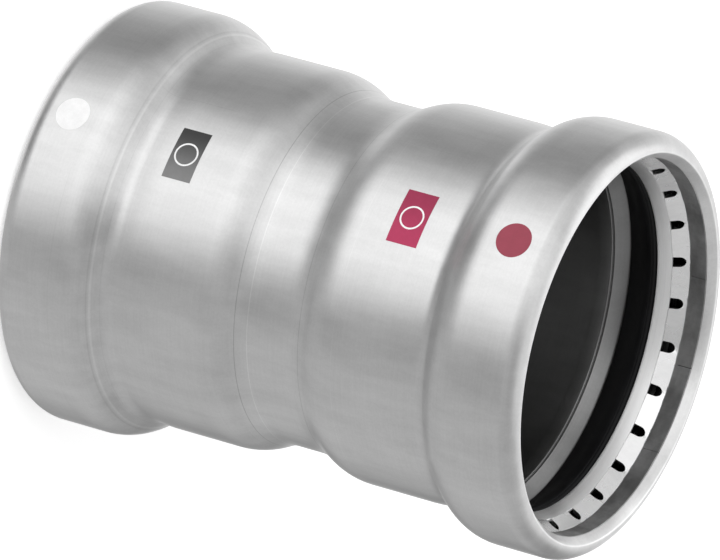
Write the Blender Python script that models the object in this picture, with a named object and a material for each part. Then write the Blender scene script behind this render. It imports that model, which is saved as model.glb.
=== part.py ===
"""Straight press coupling for thin-walled steel pipe.

The coupling stands on one end. Its origin is the centre of the lower end face and +Z runs up its axis.
Every length is in metres. Each socket is described from the middle of the coupling outwards, as a place
along the axis and a radius, and two empties stand the same socket upwards and downwards.
"""
import math

import bmesh
import bpy
from mathutils import Matrix, Vector

MM = 0.001

# The sleeve, which is formed from one piece of tube
LENGTH = 148.9 * MM
WALL = 2.8 * MM
LIP_WALL = 2.15 * MM
WAIST_RADIUS = 44.75 * MM
BARREL_RADIUS = 48.95 * MM
NECK_RADIUS = 48.5 * MM
BEAD_RADIUS = 54.7 * MM
MOUTH_RADIUS = 48.2 * MM

# Where the sleeve's bends begin, from the middle, and how tight they are
WAIST_HALF = 3.65 * MM
WAIST_SLOPE = 30
BARREL_END = 36.5 * MM
NECK_TAPER = 6
NECK_TAPER_BEND = 40.0 * MM
NECK_BEND = 5.8 * MM
BEAD_SLOPE = 42
BEAD_BEND = 12.0 * MM
LIP_BEND = 5.2 * MM
LIP_EDGE = 0.5 * MM

# How far one facet of a bend may turn, in degrees
FACET = 24

# The rings in each socket keep this much room to the sleeve and to each other
SEAT_GAP = 0.3 * MM
RING_RADIUS = 51.4 * MM

# The grip ring, folded from sheet: flat teeth with round-rooted gaps, and a band with slits across it
TOOTH_COUNT = 26
SLIT_COUNT = 13
GRIP_SHEET = 1.2 * MM
GRIP_BACK = 63.65 * MM
GRIP_FRONT = 72.0 * MM
TOOTH_TIP_RADIUS = 46.0 * MM
TOOTH_ROOT = 67.4 * MM
TOOTH_ROOT_RADIUS = 48.1 * MM
BAND_START = 67.8 * MM
GRIP_BAND_RADIUS = 48.2 * MM
GAP_WIDTH = 2.75 * MM
GAP_END = 66.6 * MM
SLIT_WIDTH = 0.35 * MM
SLIT_AHEAD_OF_GAP = 4.4
GRIP_TURN = 4.8

# The separator ring, whose rim stands proud of its front face to meet the teeth
SEPARATOR_BACK = 59.85 * MM
SEPARATOR_FRONT = 63.35 * MM
SEPARATOR_RADIUS = 45.15 * MM
SEPARATOR_RIM_RADIUS = 46.05 * MM
SEPARATOR_RELIEF = 1.4 * MM
SEPARATOR_EDGE = 0.35 * MM

# The seal: a heavy heel against the wall, and a long lip that slopes down to the sleeve's neck
SEAL_FRONT = 59.55 * MM
SEAL_HEEL = 56.9 * MM
SEAL_HEEL_BEND = (50.75 * MM, 53.2 * MM)
SEAL_NOSE = (48.75 * MM, 50.35 * MM)
SEAL_NOSE_EDGE = (48.3 * MM, 50.6 * MM)
SEAL_LIP = [(46.9 * MM, 53.4 * MM), (45.6 * MM, 55.6 * MM)]
SEAL_CREST = (45.0 * MM, 57.2 * MM)
SEAL_RIM = [(45.15 * MM, 59.0 * MM), (45.65 * MM, 59.55 * MM)]

# Facets round each piece
SLEEVE_SEGMENTS = 40
RING_SEGMENTS = 36


def clear_scene():
    """Remove every object that the scene starts with."""
    for item in list(bpy.data.objects):
        bpy.data.objects.remove(item, do_unlink=True)


def finish(name, colour, metallic, roughness):
    """Make a plain finish with the piece's colour."""
    material = bpy.data.materials.new(name)
    material.use_nodes = True
    shader = material.node_tree.nodes["Principled BSDF"]
    shader.inputs["Base Color"].default_value = (*colour, 1.0)
    shader.inputs["Metallic"].default_value = metallic
    shader.inputs["Roughness"].default_value = roughness
    return material


def walk(runs):
    """Follow straight runs and the bends between them, and return the stations passed.

    A run is a length, or a bend's radius with its turn in degrees, outwards positive. A station is a
    place along the axis, a radius and a heading.
    """
    along, radius, heading = 0.0, WAIST_RADIUS, 0.0
    stations = []
    for run in runs:
        if not isinstance(run, tuple):
            along += run * math.cos(heading)
            radius += run * math.sin(heading)
            stations.append((along, radius, heading))
            continue
        bend, turn = run[0], math.radians(run[1])
        count = math.ceil(abs(run[1]) / FACET)
        side = math.copysign(bend, turn)
        for _ in range(count):
            ahead = heading + turn / count
            along += side * (math.sin(ahead) - math.sin(heading))
            radius -= side * (math.cos(ahead) - math.cos(heading))
            heading = ahead
            stations.append((along, radius, heading))
    return stations


def slope_run(rise, first_bend, second_bend, slope):
    """Return the straight run between two opposite bends that climb by a given rise."""
    bends = (first_bend + second_bend) * (1 - math.cos(math.radians(slope)))
    return (rise - bends) / math.sin(math.radians(slope))


def sleeve_runs():
    """Describe the sleeve's outer surface from the middle to the lip."""
    waist_turn = math.radians(WAIST_SLOPE)
    waist_bend = (BARREL_RADIUS - WAIST_RADIUS) / (2 * (1 - math.cos(waist_turn)))
    barrel_start = WAIST_HALF + 2 * waist_bend * math.sin(waist_turn)
    taper = math.radians(NECK_TAPER)
    neck_drop = BARREL_RADIUS - NECK_RADIUS
    taper_run = (neck_drop - (NECK_TAPER_BEND + NECK_BEND) * (1 - math.cos(taper))) / math.sin(taper)
    climb_run = slope_run(BEAD_RADIUS - NECK_RADIUS, NECK_BEND, BEAD_BEND, BEAD_SLOPE)
    runs = [
        WAIST_HALF,
        (waist_bend, WAIST_SLOPE),
        (waist_bend, -WAIST_SLOPE),
        BARREL_END - barrel_start,
        (NECK_TAPER_BEND, -NECK_TAPER),
        taper_run,
        (NECK_BEND, NECK_TAPER + BEAD_SLOPE),
        climb_run,
        (BEAD_BEND, -BEAD_SLOPE),
    ]
    bead_start = walk(runs)[-1][0]
    runs.append(LENGTH / 2 - LIP_BEND - bead_start)
    runs.append((LIP_BEND, -90))
    return runs


def sleeve_wall(heading):
    """Return the wall's thickness, which thins as the sheet rolls in at the lip."""
    rolled = max(0.0, -heading / math.radians(90))
    if heading > -math.radians(NECK_TAPER + 1):
        rolled = 0.0
    return WALL + (LIP_WALL - WALL) * rolled


def sleeve_section():
    """Return the sleeve's closed section, as radii and heights from the middle."""
    stations = walk(sleeve_runs())
    outside = [(radius, along) for along, radius, _ in stations]
    end = LENGTH / 2
    outside.append((MOUTH_RADIUS + LIP_EDGE, end))
    outside.append((MOUTH_RADIUS, end - LIP_EDGE))
    inside = [(MOUTH_RADIUS, end - LIP_WALL)]
    for along, radius, heading in reversed(stations):
        wall = sleeve_wall(heading)
        inside.append((radius - wall * math.cos(heading), along + wall * math.sin(heading)))
    upper_outside = list(reversed(outside))
    lower_outside = [(radius, -height) for radius, height in outside]
    lower_inside = [(radius, -height) for radius, height in inside]
    return upper_outside + lower_outside + lower_inside + list(reversed(inside))


def grip_section():
    """Return the grip ring's section: teeth, inner band, rolled front and outer wall.

    The ring is turned with one flat for each tooth, so the radii that the teeth and the band have at
    the middle of a flat grow to those of its corners.
    """
    corner = 1 / math.cos(math.pi / TOOTH_COUNT)
    slope = (TOOTH_ROOT_RADIUS - TOOTH_TIP_RADIUS) / (TOOTH_ROOT - GRIP_BACK)
    tooth_depth = GRIP_SHEET * math.hypot(1, slope)
    tooth_back = TOOTH_TIP_RADIUS + tooth_depth
    band_back = GRIP_BAND_RADIUS + GRIP_SHEET
    wall_inside = RING_RADIUS - GRIP_SHEET
    shoulder = GRIP_FRONT - (RING_RADIUS - band_back) - SEAT_GAP
    return [
        (RING_RADIUS, shoulder),
        (RING_RADIUS, GRIP_BACK),
        (wall_inside, GRIP_BACK),
        (wall_inside, shoulder - GRIP_SHEET / 2),
        (band_back * corner, GRIP_FRONT - 1.5 * GRIP_SHEET),
        (band_back * corner, GRIP_BACK + (band_back - tooth_back) / slope),
        (tooth_back * corner, GRIP_BACK),
        (TOOTH_TIP_RADIUS * corner, GRIP_BACK),
        (TOOTH_ROOT_RADIUS * corner, TOOTH_ROOT),
        (GRIP_BAND_RADIUS * corner, BAND_START),
        (GRIP_BAND_RADIUS * corner, GRIP_FRONT),
        (band_back, GRIP_FRONT),
    ]


def separator_section():
    """Return the separator ring's section, eased at both inner edges and relieved behind its rim."""
    rim_outside = SEPARATOR_RIM_RADIUS + SEPARATOR_EDGE
    return [
        (RING_RADIUS, SEPARATOR_FRONT - SEPARATOR_RELIEF),
        (RING_RADIUS, SEPARATOR_BACK),
        (SEPARATOR_RADIUS + SEPARATOR_EDGE, SEPARATOR_BACK),
        (SEPARATOR_RADIUS, SEPARATOR_BACK + SEPARATOR_EDGE),
        (SEPARATOR_RADIUS + SEPARATOR_EDGE, SEPARATOR_FRONT - 2 * SEPARATOR_EDGE),
        (SEPARATOR_RIM_RADIUS, SEPARATOR_FRONT),
        (rim_outside, SEPARATOR_FRONT),
        (rim_outside + 2 * SEPARATOR_RELIEF, SEPARATOR_FRONT - SEPARATOR_RELIEF),
    ]


def seal_section():
    """Return the seal's section, down its back and up its face."""
    back = [(RING_RADIUS, SEAL_FRONT), (RING_RADIUS, SEAL_HEEL), SEAL_HEEL_BEND, SEAL_NOSE]
    return back + [SEAL_NOSE_EDGE] + SEAL_LIP + [SEAL_CREST] + SEAL_RIM


def stand_end(name, upwards):
    """Make an empty at the coupling's middle that points one socket up or down."""
    end = bpy.data.objects.new(name, None)
    end.location = (0.0, 0.0, LENGTH / 2)
    end.rotation_euler = (0.0 if upwards else math.pi, 0.0, 0.0)
    bpy.context.collection.objects.link(end)
    return end


def turned(name, section, segments, material, parent, smooth=True):
    """Turn a closed section round the axis into one solid ring."""
    mesh = bpy.data.meshes.new(name)
    count = len(section)
    points = [(radius, 0.0, height) for radius, height in section]
    mesh.from_pydata(points, [(i, (i + 1) % count) for i in range(count)], [])
    piece = bpy.data.objects.new(name, mesh)
    piece.parent = parent
    piece.data.materials.append(material)
    bpy.context.collection.objects.link(piece)
    screw = piece.modifiers.new("turn", "SCREW")
    screw.angle = math.tau
    screw.steps = segments
    screw.render_steps = segments
    screw.use_merge_vertices = True
    screw.merge_threshold = 0.00001
    screw.use_smooth_shade = smooth
    return piece


def cut(piece, name, build):
    """Cut away the shapes that a builder adds to an empty mesh."""
    shapes = bmesh.new()
    build(shapes)
    mesh = bpy.data.meshes.new(name)
    shapes.to_mesh(mesh)
    shapes.free()
    cutter = bpy.data.objects.new(name, mesh)
    cutter.parent = piece
    cutter.hide_render = True
    cutter.display_type = "WIRE"
    bpy.context.collection.objects.link(cutter)
    boolean = piece.modifiers.new(name, "BOOLEAN")
    boolean.operation = "DIFFERENCE"
    boolean.solver = "EXACT"
    boolean.object = cutter


def add_gap(shapes, degrees):
    """Add the round-ended prism that parts two teeth, open towards the seal."""
    half = GAP_WIDTH / 2
    inner, outer = TOOTH_TIP_RADIUS - GAP_WIDTH, RING_RADIUS - GRIP_SHEET - SEAT_GAP
    centre = GAP_END - half
    outline = [(-half, GRIP_BACK - half), (half, GRIP_BACK - half)]
    outline += [(half * math.cos(turn), centre + half * math.sin(turn))
                for turn in (math.pi * step / 4 for step in range(5))]
    bottom = [shapes.verts.new((inner, across, height)) for across, height in outline]
    face = shapes.faces.new(bottom)
    grown = bmesh.ops.extrude_face_region(shapes, geom=[face])["geom"]
    top = [item for item in grown if isinstance(item, bmesh.types.BMVert)]
    bmesh.ops.translate(shapes, verts=top, vec=(outer - inner, 0.0, 0.0))
    turn_about_axis(shapes, bottom + top, degrees)


def add_slit(shapes, degrees):
    """Add the thin blade that cuts one slit across the band and the rolled front."""
    inner, outer = TOOTH_ROOT_RADIUS - SLIT_WIDTH, GRIP_BAND_RADIUS + 1.3 * GRIP_SHEET
    bottom, top = BAND_START, GRIP_FRONT + GRIP_SHEET
    middle = Vector(((inner + outer) / 2, 0.0, (bottom + top) / 2))
    size = Matrix.Diagonal((outer - inner, SLIT_WIDTH, top - bottom, 1.0))
    made = bmesh.ops.create_cube(shapes, size=1.0, matrix=Matrix.Translation(middle) @ size)
    turn_about_axis(shapes, made["verts"], degrees)


def turn_about_axis(shapes, verts, degrees):
    """Turn points about the coupling's axis."""
    turn = Matrix.Rotation(math.radians(degrees), 3, "Z")
    bmesh.ops.rotate(shapes, verts=verts, cent=(0.0, 0.0, 0.0), matrix=turn)


def build_gaps(shapes):
    """Add the gaps between all the teeth."""
    for index in range(TOOTH_COUNT):
        add_gap(shapes, index * 360 / TOOTH_COUNT)
    bmesh.ops.recalc_face_normals(shapes, faces=shapes.faces)


def build_slits(shapes):
    """Add the slits that let the ring close when it is pressed."""
    for index in range(SLIT_COUNT):
        add_slit(shapes, index * 360 / SLIT_COUNT - SLIT_AHEAD_OF_GAP)
    bmesh.ops.recalc_face_normals(shapes, faces=shapes.faces)


def make_sleeve(material):
    """Make the sleeve, centred on the coupling's middle."""
    middle = stand_end("middle", True)
    return turned("coupling_body", sleeve_section(), SLEEVE_SEGMENTS, material, middle)


def make_grip_ring(name, material, end):
    """Make a grip ring with one flat for each tooth."""
    ring = turned(name, grip_section(), TOOTH_COUNT, material, end, smooth=False)
    ring.rotation_euler = (0.0, 0.0, math.radians(GRIP_TURN))
    cut(ring, name + "_gaps", build_gaps)
    cut(ring, name + "_slits", build_slits)


def make_socket(side, upwards, steel, ring_steel, rubber):
    """Fit one socket with its grip ring, separator ring and seal."""
    end = stand_end(side + "_end", upwards)
    make_grip_ring("grip_ring_" + side, ring_steel, end)
    turned("separator_ring_" + side, separator_section(), RING_SEGMENTS, steel, end)
    turned("seal_ring_" + side, seal_section(), RING_SEGMENTS, rubber, end)


def main():
    """Build the coupling."""
    clear_scene()
    sleeve_steel = finish("satin zinc-plated steel", (0.62, 0.62, 0.61), 1.0, 0.38)
    ring_steel = finish("bright spring steel", (0.7, 0.7, 0.69), 1.0, 0.25)
    rubber = finish("black rubber", (0.02, 0.02, 0.02), 0.0, 0.45)
    make_sleeve(sleeve_steel)
    make_socket("top", True, sleeve_steel, ring_steel, rubber)
    make_socket("bottom", False, sleeve_steel, ring_steel, rubber)


main()
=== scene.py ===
"""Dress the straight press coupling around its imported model.

The coupling stands on one end, with +Z up its axis, and every length is in metres. Its pieces are described
as on a working drawing: a radius from the axis, and a place along it counted from the coupling's middle.
Azimuths are in degrees: 0 is the side that faces -Y, where the printed marks are, and 90 is the +X side.
"""
import logging
import math
from collections.abc import Callable, Iterator
from dataclasses import dataclass, field
from enum import Enum
from typing import ClassVar

import bmesh
import bpy
from mathutils import Euler, Matrix, Vector


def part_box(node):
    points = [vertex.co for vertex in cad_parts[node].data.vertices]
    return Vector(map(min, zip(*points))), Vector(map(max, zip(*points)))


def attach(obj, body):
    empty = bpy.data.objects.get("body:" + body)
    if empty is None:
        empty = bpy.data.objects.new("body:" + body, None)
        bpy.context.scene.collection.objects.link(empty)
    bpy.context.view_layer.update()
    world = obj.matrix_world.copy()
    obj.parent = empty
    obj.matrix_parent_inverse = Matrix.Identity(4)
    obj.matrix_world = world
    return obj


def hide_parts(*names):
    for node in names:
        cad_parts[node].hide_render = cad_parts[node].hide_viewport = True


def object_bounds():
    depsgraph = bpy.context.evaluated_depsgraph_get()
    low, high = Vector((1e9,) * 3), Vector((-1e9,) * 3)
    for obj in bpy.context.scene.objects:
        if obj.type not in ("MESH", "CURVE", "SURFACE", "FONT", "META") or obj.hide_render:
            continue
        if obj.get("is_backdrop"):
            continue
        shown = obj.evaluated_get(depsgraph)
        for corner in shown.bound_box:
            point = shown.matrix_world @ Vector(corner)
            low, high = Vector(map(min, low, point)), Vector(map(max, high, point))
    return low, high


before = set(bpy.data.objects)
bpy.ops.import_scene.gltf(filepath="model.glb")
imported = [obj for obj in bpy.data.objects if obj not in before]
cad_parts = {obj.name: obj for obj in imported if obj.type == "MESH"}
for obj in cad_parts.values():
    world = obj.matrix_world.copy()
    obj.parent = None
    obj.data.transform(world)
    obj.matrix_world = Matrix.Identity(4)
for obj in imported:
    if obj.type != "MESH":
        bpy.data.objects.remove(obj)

LOG = logging.getLogger("coupling")

MM = 0.001
CAD_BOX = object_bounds()

LENGTH = CAD_BOX[1].z - CAD_BOX[0].z
MIDDLE = CAD_BOX[0].z + LENGTH / 2
CENTRE = Vector((0.0, 0.0, MIDDLE))
BEAD_RADIUS = CAD_BOX[1].x
RING_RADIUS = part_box("separator_ring_top")[1].x
NEAR = 0.01 * MM
MERGE = 0.001 * MM
SMOOTH_BELOW = math.radians(32)
WHITE = (1.0, 1.0, 1.0, 1.0)

Colour = tuple[float, float, float]
Range = tuple[float, float]
Levels = tuple[tuple[float, float], ...]
Signal = bpy.types.NodeSocket


class Socket(Enum):
    """The two ends of the coupling, by the way each one points."""

    TOP = "top"
    BOTTOM = "bottom"

    @property
    def turn(self) -> Euler:
        """The rotation that points a socket drawn upwards this way."""
        return Euler((0.0 if self is Socket.TOP else math.pi, 0.0, 0.0))


def bearing(azimuth: float, elevation: float = 0.0) -> Vector:
    """Return the direction that an azimuth and an elevation name.

    Args:
        azimuth: Degrees round the axis from -Y towards +X.
        elevation: Degrees above the horizon.

    Returns:
        A vector of length one, away from the axis.
    """
    across, up = math.radians(azimuth), math.radians(elevation)
    return Vector((math.sin(across) * math.cos(up), -math.cos(across) * math.cos(up), math.sin(up)))


def to_object_mode() -> None:
    """Leave edit mode and deselect every object."""
    if bpy.context.object is not None and bpy.context.object.mode != "OBJECT":
        bpy.ops.object.mode_set(mode="OBJECT")
    bpy.ops.object.select_all(action="DESELECT")


def pick(piece: bpy.types.Object) -> None:
    """Make one object the only selected and active one.

    Args:
        piece: The object to select.
    """
    to_object_mode()
    piece.select_set(True)
    bpy.context.view_layer.objects.active = piece


def edit(piece: bpy.types.Object) -> None:
    """Open one object in edit mode, with none of its vertices selected.

    Args:
        piece: The object to work on.
    """
    pick(piece)
    bpy.ops.object.mode_set(mode="EDIT")
    bpy.ops.mesh.select_mode(type="VERT")
    bpy.ops.mesh.select_all(action="DESELECT")


def edit_all(piece: bpy.types.Object) -> None:
    """Open one object in edit mode, with all of its vertices selected."""
    edit(piece)
    bpy.ops.mesh.select_all(action="SELECT")


def select_places(piece: bpy.types.Object, wanted: Callable[[Vector], bool]) -> None:
    """Select the vertices of the piece in edit mode that lie at given places.

    Args:
        piece: The object that is open in edit mode.
        wanted: Says of a vertex's place whether the vertex is selected.
    """
    mesh = bmesh.from_edit_mesh(piece.data)
    for vertex in mesh.verts:
        vertex.select = wanted(vertex.co)
    mesh.select_flush_mode()
    bmesh.update_edit_mesh(piece.data)


def close_seams(reach: float = MERGE) -> None:
    """Merge the doubles of the mesh in edit mode, point its faces outwards and leave edit mode.

    Args:
        reach: How far apart two vertices may lie and still be merged.
    """
    bpy.ops.mesh.select_all(action="SELECT")
    bpy.ops.mesh.remove_doubles(threshold=reach)
    bpy.ops.mesh.normals_make_consistent(inside=False)
    to_object_mode()


def apply_modifier(piece: bpy.types.Object, modifier: bpy.types.Modifier) -> None:
    """Apply one of a piece's modifiers."""
    pick(piece)
    bpy.ops.object.modifier_apply(modifier=modifier.name)


def fix_place(piece: bpy.types.Object) -> None:
    """Put an object's place, turn and scale into its mesh."""
    pick(piece)
    bpy.ops.object.transform_apply(location=True, rotation=True, scale=True)


def settle(piece: bpy.types.Object, finish: bpy.types.Material) -> None:
    """Put a finished piece's place into its mesh, shade it and give it its finish.

    Args:
        piece: The object whose shape is finished.
        finish: The material for all of it.
    """
    fix_place(piece)
    bpy.ops.object.shade_smooth_by_angle(angle=SMOOTH_BELOW)
    piece.data.materials.clear()
    piece.data.materials.append(finish)


def keep_flats_flat(piece: bpy.types.Object) -> None:
    """Weigh the shading normals by face size, so that a rounded edge doesn't bend the flat beside it.

    Args:
        piece: The object to shade.
    """
    weigh = piece.modifiers.new("flats", "WEIGHTED_NORMAL")
    weigh.keep_sharp = True
    weigh.weight = 100
    apply_modifier(piece, weigh)


@dataclass(frozen=True)
class Corner:
    """One corner of a turned section, and how far along its edges it is rounded."""

    radius: float
    along: float
    ease: float = 0.0

    @property
    def place(self) -> Vector:
        """The corner's place in the plane of +X and +Z."""
        return Vector((self.radius, 0.0, self.along))


@dataclass
class Section:
    """A section that is drawn by extruding one vertex from corner to corner, and turned about the axis."""

    name: str
    corners: list[Corner]
    closed: bool = True
    ease_segments: int = 5

    def draw(self) -> bpy.types.Object:
        """Draw the section as a wire.

        Returns:
            The wire's object, left in edit mode.
        """
        to_object_mode()
        bpy.ops.mesh.primitive_plane_add(size=MM)
        piece = bpy.context.object
        piece.name = self.name
        piece.data.name = self.name
        edit_all(piece)
        bpy.ops.mesh.merge(type="CENTER")
        here = self.corners[0].place
        bpy.ops.transform.translate(value=here)
        way_round = self.corners[1:] + ([self.corners[0]] if self.closed else [])
        for corner in way_round:
            bpy.ops.mesh.extrude_region_move(TRANSFORM_OT_translate={"value": corner.place - here})
            here = corner.place
        bpy.ops.mesh.select_all(action="SELECT")
        bpy.ops.mesh.remove_doubles(threshold=MERGE)
        if any(corner.ease > 0 for corner in self.corners):
            self.ease_corners(piece)
        return piece

    def ease_corners(self, piece: bpy.types.Object) -> None:
        """Round the corners that ask for it, with the section filled while that is done.

        Args:
            piece: The wire's object, open in edit mode.
        """
        bpy.ops.mesh.select_all(action="SELECT")
        bpy.ops.mesh.edge_face_add()
        for corner in self.corners:
            if corner.ease > 0:
                select_places(piece, lambda co, at=corner.place: (co - at).length < NEAR)
                bpy.ops.mesh.bevel(
                    offset=corner.ease,
                    segments=self.ease_segments,
                    affect="VERTICES",
                    clamp_overlap=False,
                )
        bpy.ops.mesh.select_all(action="SELECT")
        bpy.ops.mesh.delete(type="ONLY_FACE")
        if not self.closed:
            self.open_again(piece)

    def open_again(self, piece: bpy.types.Object) -> None:
        """Take away the edge that filling put across an open section's ends.

        Args:
            piece: The wire's object, open in edit mode.
        """
        first, last = self.corners[0].place, self.corners[-1].place
        mesh = bmesh.from_edit_mesh(piece.data)
        for line in mesh.edges:
            ends = [vertex.co for vertex in line.verts]
            line.select = all(min((co - first).length, (co - last).length) < NEAR for co in ends)
        found = any(line.select for line in mesh.edges)
        bmesh.update_edit_mesh(piece.data)
        if found:
            bpy.ops.mesh.delete(type="EDGE")

    def turn(self, segments: int, sweep: float = math.tau, start: float = 0.0) -> bpy.types.Object:
        """Draw the section and spin it about the axis.

        Args:
            segments: How many steps the spin takes.
            sweep: How far it goes, in radians, anticlockwise as seen from +Z.
            start: The angle from +X at which it starts, in radians.

        Returns:
            The turned object, in object mode, with its faces pointing out.
        """
        piece = self.draw()
        if start:
            piece.rotation_euler.z = start
            fix_place(piece)
            edit(piece)
        bpy.ops.mesh.select_all(action="SELECT")
        bpy.ops.mesh.spin(
            steps=segments,
            angle=sweep,
            use_auto_merge=True,
            center=(0, 0, 0),
            axis=(0, 0, -1),
        )
        close_seams()
        return piece


@dataclass
class Route:
    """A line that goes by straight runs and bends, as a sleeve's section is dimensioned."""

    radius: float
    facet: float = 4.0
    along: float = 0.0
    heading: float = 0.0
    stations: list[tuple[float, float, float]] = field(default_factory=list)

    def run(self, length: float) -> "Route":
        """Go straight on, and note the place, the radius and the heading reached.

        Args:
            length: How far the line goes.

        Returns:
            The route itself, for the next call.
        """
        self.along += length * math.cos(self.heading)
        self.radius += length * math.sin(self.heading)
        self.stations.append((self.along, self.radius, self.heading))
        return self

    def bend(self, radius: float, degrees: float) -> "Route":
        """Follow a bend, and note the end of each of its facets.

        Args:
            radius: The bend's radius.
            degrees: How far it turns, outwards where this is positive.

        Returns:
            The route itself, for the next call.
        """
        turn = math.radians(degrees)
        side = math.copysign(radius, turn)
        steps = math.ceil(abs(degrees) / self.facet)
        for _ in range(steps):
            ahead = self.heading + turn / steps
            self.along += side * (math.sin(ahead) - math.sin(self.heading))
            self.radius -= side * (math.cos(ahead) - math.cos(self.heading))
            self.heading = ahead
            self.stations.append((self.along, self.radius, self.heading))
        return self


@dataclass(frozen=True)
class Pattern:
    """A noise, by its counts per metre across and up the axis and by how it breaks up."""

    across: float
    up: float
    detail: float
    rough: float


class Graph:
    """A material's node tree, with short calls to add and link nodes."""

    def __init__(self, name: str) -> None:
        """Start a material that has only its shader and its output.

        Args:
            name: The material's name.
        """
        self.material = bpy.data.materials.new(name)
        self.material.use_nodes = True
        self.nodes = self.material.node_tree.nodes
        self.links = self.material.node_tree.links
        self.shader = self.nodes["Principled BSDF"]

    def add(self, kind: str, inputs: dict[str | int, object], **settings: object) -> bpy.types.Node:
        """Add a node.

        Args:
            kind: The node's type, without its ShaderNode prefix.
            inputs: A value or another node's socket for each named or numbered input.
            settings: The node's own options.

        Returns:
            The new node.
        """
        node = self.nodes.new("ShaderNode" + kind)
        for key, value in settings.items():
            setattr(node, key, value)
        for key, value in inputs.items():
            self.feed(node.inputs[key], value)
        return node

    def feed(self, socket: Signal, value: object) -> None:
        """Link another node's socket into this one, or set this one to a value.

        Args:
            socket: The input to feed.
            value: A node's output, or a plain value.
        """
        if isinstance(value, bpy.types.NodeSocket):
            self.links.new(value, socket)
        else:
            socket.default_value = value

    def dress(self, inputs: dict[str, object]) -> bpy.types.Material:
        """Feed the shader.

        Args:
            inputs: A value or another node's socket for each of the shader's named inputs.

        Returns:
            The finished material.
        """
        for name, value in inputs.items():
            self.feed(self.shader.inputs[name], value)
        return self.material

    def math(self, operation: str, first: object, *others: object) -> Signal:
        """Join values by one operation, from the first to the last.

        Args:
            operation: What each math node does.
            first: A value or another node's socket.
            others: More of them, and none where the operation takes a single value.

        Returns:
            The last node's result.
        """
        for second in others or (0.0,):
            first = self.add("Math", {0: first, 1: second}, operation=operation).outputs[0]
        return first

    def ramp(self, value: object, low: float, high: float, to_low: float, to_high: float) -> Signal:
        """Move a value smoothly from one range to another.

        Args:
            value: The value to move.
            low: Where its own range starts.
            high: Where its own range ends.
            to_low: What it is at the start.
            to_high: What it is at the end.

        Returns:
            The moved value.
        """
        inputs = {"Value": value, "From Min": low, "From Max": high, "To Min": to_low, "To Max": to_high}
        return self.add("MapRange", inputs, interpolation_type="SMOOTHSTEP").outputs["Result"]

    def noise(self, pattern: Pattern) -> Signal:
        """Add a noise on the piece.

        Args:
            pattern: How fine it is, and how it breaks up.

        Returns:
            Its value from 0 to 1.
        """
        scale = (pattern.across, pattern.across, pattern.up)
        place = self.add("Mapping", {"Vector": self.place(), "Scale": scale}).outputs[0]
        inputs = {"Vector": place, "Scale": 1.0, "Detail": pattern.detail, "Roughness": pattern.rough}
        return self.add("TexNoise", inputs).outputs["Fac"]

    def vary(self, noise: Signal, low: float, high: float, reach: float = 0.2) -> Signal:
        """Spread a noise's middle values, which lie within a reach of 0.5, over a range."""
        return self.ramp(noise, 0.5 - reach, 0.5 + reach, low, high)

    def place(self) -> Signal:
        """Return the place on the piece, from the coupling's own origin."""
        return self.add("TexCoord", {}).outputs["Object"]

    def level(self, vector: Signal) -> Signal:
        """Return a vector without its part along the axis."""
        return self.add("VectorMath", {0: vector, 1: (1.0, 1.0, 0.0)}, operation="MULTIPLY").outputs[0]

    def dot(self, first: Signal, second: object) -> Signal:
        """Return how far one vector goes along another of length one."""
        return self.add("VectorMath", {0: first, 1: second}, operation="DOT_PRODUCT").outputs["Value"]

    def split(self, part: str) -> Signal:
        """Return the place's part along X, Y or Z."""
        return self.add("SeparateXYZ", {0: self.place()}).outputs[part]

    def away(self, value: Signal, centre: float) -> Signal:
        """Return how far a value is from another, whichever is larger."""
        return self.math("ABSOLUTE", self.math("SUBTRACT", value, centre))

    def facing_out(self) -> Signal:
        """Return a length that is positive where a surface faces away from the axis."""
        return self.dot(self.place(), self.level(self.add("TexCoord", {}).outputs["Normal"]))

    def from_axis(self) -> Signal:
        """Return how far a point is from the axis."""
        return self.add("VectorMath", {0: self.level(self.place())}, operation="LENGTH").outputs["Value"]

    def from_middle(self) -> Signal:
        """Return how far a point is from the coupling's middle, along the axis."""
        return self.away(self.split("Z"), MIDDLE)

    def tint(self, colour: Colour, factor: Signal) -> Signal:
        """Return a colour made lighter or darker by a factor."""
        return self.add("VectorMath", {0: colour, 3: factor}, operation="SCALE").outputs[0]

    def bump(self, height: Signal, strength: float, distance: float) -> Signal:
        """Return the normal of a surface that is raised by a height."""
        inputs = {"Height": height, "Strength": strength, "Distance": distance}
        return self.add("Bump", inputs).outputs["Normal"]


@dataclass(frozen=True)
class DieMarkAndPaintedSheen:
    """A fine line round the sleeve, which a forming die leaves; two of them are a painted highlight and
    painted shade at a bend.
    """

    along: float
    width: float
    shade: float


@dataclass(frozen=True)
class Scratch:
    """A fine line along the sleeve, which fades out at its ends."""

    azimuth: float
    low: float
    high: float
    shade: float
    width: float = 0.12 * MM
    end: float = 2 * MM


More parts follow.
